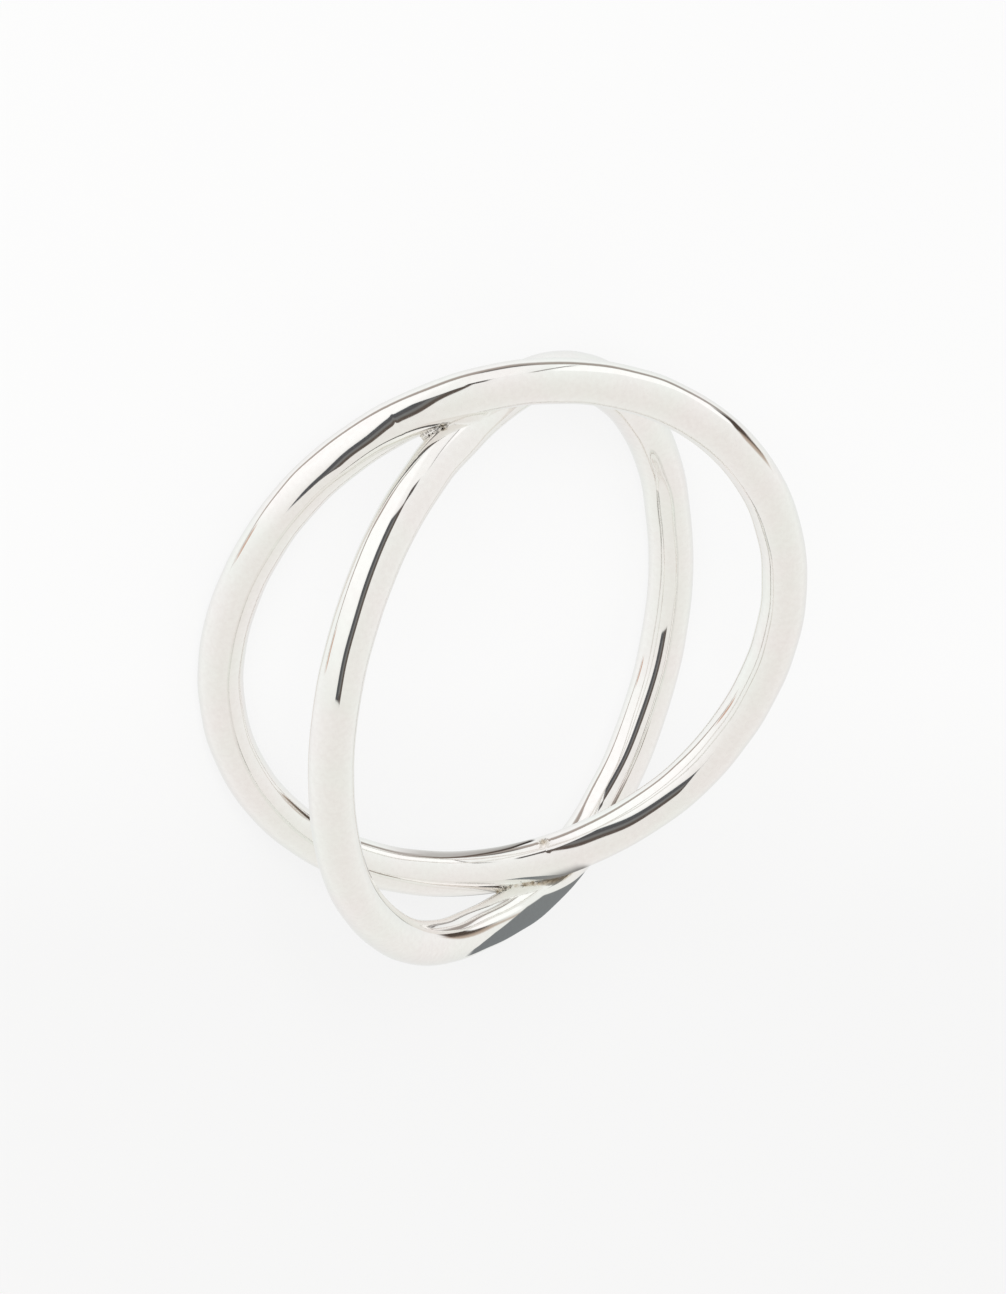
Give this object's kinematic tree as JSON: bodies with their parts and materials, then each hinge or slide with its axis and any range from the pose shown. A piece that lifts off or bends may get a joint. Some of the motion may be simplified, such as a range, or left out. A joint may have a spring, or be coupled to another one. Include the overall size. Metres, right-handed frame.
{
  "type": "crossover finger ring",
  "caption": "Plain crossover finger ring: round-wire loops of one size that cross in an X and are soldered where they cross.",
  "frame": {"origin": "on the resting plane, under the middle of the ring as it lies on its side", "axes": "+Z is the finger's axis, upwards; the two crossings are at +Y and -Y; the loops are furthest apart at +X and -X"},
  "size_m": [0.02, 0.022, 0.0078],
  "materials": {
    "polished_silver": "sterling silver, drawn round wire, polished to a mirror"
  },
  "bodies": {
    "root": {"crossover_band": "polished_silver"}
  },
  "joints": []
}
